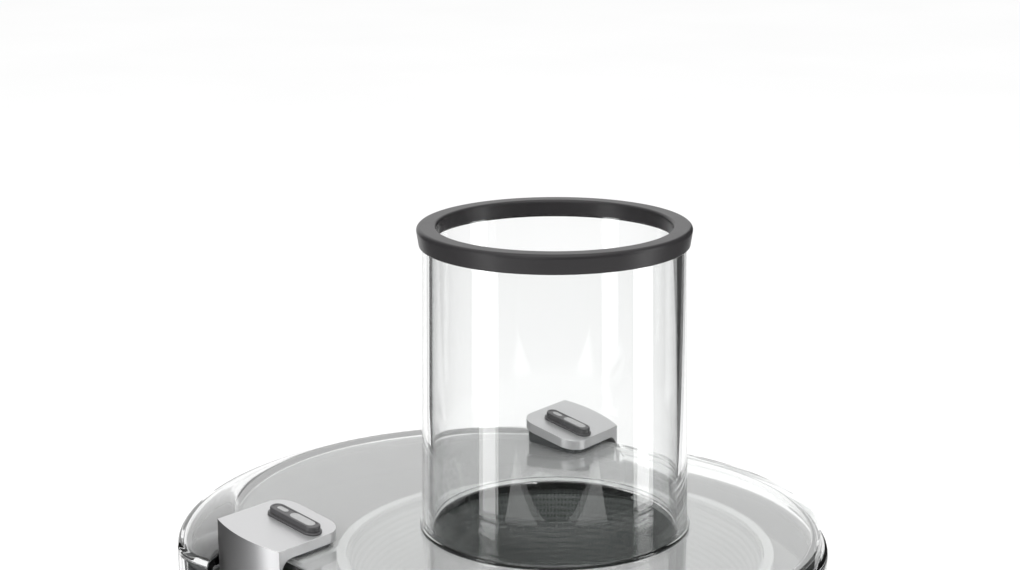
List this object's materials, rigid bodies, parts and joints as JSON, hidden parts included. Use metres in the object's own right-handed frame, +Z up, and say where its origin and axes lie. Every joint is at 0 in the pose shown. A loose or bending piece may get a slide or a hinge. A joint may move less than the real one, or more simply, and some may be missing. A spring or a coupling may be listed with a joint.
{
  "type": "centrifugal juicer",
  "caption": "Centrifugal juicer with a clear lid and wide round feed chute, side clamps, spinning filter basket, slide-out pulp container and tilting juice spout.",
  "frame": {"origin": "on the table, at the bottom centre of the juicer's box; the spin axis stands 2 mm to -X of it", "axes": "+Z up; +X towards the juice spout and the feed chute's end; -X towards the pulp container; -Y is the side with the speed knob"},
  "size_m": [0.296, 0.199, 0.374],
  "materials": {
    "dark_plastic": "fine textured charcoal",
    "black_rubber": "matt",
    "bright_steel": "polished steel",
    "silver_plastic": "satin silver paint",
    "brushed_steel": "brushed along its height's cross direction",
    "satin_metal": "satin silver",
    "black_plastic": "satin",
    "circuit_board": "solder mask",
    "cast_alloy": "as cast",
    "core_iron": "stacked laminations",
    "enamelled_copper": "enamelled copper wire",
    "brass": "stamped",
    "carbon": "pressed carbon",
    "commutator_copper": "turned copper",
    "basket_plastic": "satin dark grey",
    "mesh_steel": "perforated stainless",
    "grater_steel": "stamped stainless",
    "grey_plastic": "light grey, semi-gloss",
    "grey_rubber": "soft",
    "clear_plastic": "clear, polished",
    "smoke_plastic": "dark smoked",
    "ring_plastic": "satin charcoal",
    "pad_plastic": "satin charcoal grip"
  },
  "bodies": {
    "root": {"base_plinth": "dark_plastic", "base_plate": "dark_plastic", "rubber_feet": "black_rubber", "plate_screws": "bright_steel", "base_housing": "silver_plastic", "steel_jacket": "brushed_steel", "shaft_seal": "black_rubber", "knob_bezel": "dark_plastic", "rotary_switch": "black_plastic", "control_board": "circuit_board", "safety_switch": "black_plastic", "cord_inlet": "black_rubber", "motor_frame": "cast_alloy", "motor_screws": "bright_steel", "stator_core": "core_iron", "field_coils": "enamelled_copper", "upper_bearing": "bright_steel", "lower_bearing": "bright_steel", "brush_holders": "brass", "carbon_brushes": "carbon", "juice_bowl": "grey_plastic", "outlet_tube": "grey_plastic", "bowl_rim": "basket_plastic", "bowl_seal": "grey_rubber", "lid_cover": "clear_plastic", "lid_lugs": "smoke_plastic", "feed_chute": "clear_plastic", "chute_ring": "ring_plastic", "clamp_brackets": "cast_alloy", "clamp_pins": "bright_steel", "spout_pins": "bright_steel"},
    "spinner": {"motor_shaft": "bright_steel", "rotor_core": "core_iron", "rotor_windings": "enamelled_copper", "commutator": "commutator_copper", "cooling_fan": "black_plastic", "drive_coupling": "black_plastic", "basket_hub": "basket_plastic", "basket_frame": "basket_plastic", "filter_basket": "mesh_steel", "grating_disc": "grater_steel"},
    "knob": {"speed_knob": "satin_metal", "knob_shaft": "bright_steel"},
    "front_clamp": {"clamp_front": "satin_metal", "pad_front": "pad_plastic"},
    "back_clamp": {"clamp_back": "satin_metal", "pad_back": "pad_plastic"},
    "container": {"pulp_container": "dark_plastic", "container_band": "satin_metal"},
    "spout": {"drip_spout": "grey_plastic"}
  },
  "joints": [
    {"name": "basket_spin", "type": "hinge", "parent": "root", "child": "spinner", "pos_m": [-0.002, 0, 0.2], "axis": [0, 0, 1], "continuous": true},
    {"name": "knob_turn", "type": "hinge", "parent": "root", "child": "knob", "pos_m": [-0.022, -0.084, 0.098], "axis": [0, 1, 0], "range_deg": [0, 90]},
    {"name": "front_clamp_swing", "type": "hinge", "parent": "root", "child": "front_clamp", "pos_m": [-0.0615, -0.091, 0.176], "axis": [1, 0, 0], "range_deg": [0, 100]},
    {"name": "back_clamp_swing", "type": "hinge", "parent": "root", "child": "back_clamp", "pos_m": [-0.0615, 0.091, 0.176], "axis": [-1, 0, 0], "range_deg": [0, 100]},
    {"name": "container_slide", "type": "slide", "parent": "root", "child": "container", "axis": [-1, 0, 0], "range_m": [0, 0.12]},
    {"name": "spout_tilt", "type": "hinge", "parent": "root", "child": "spout", "pos_m": [0.11, 0, 0.206], "axis": [0, -1, 0], "range_deg": [0, 35]}
  ]
}
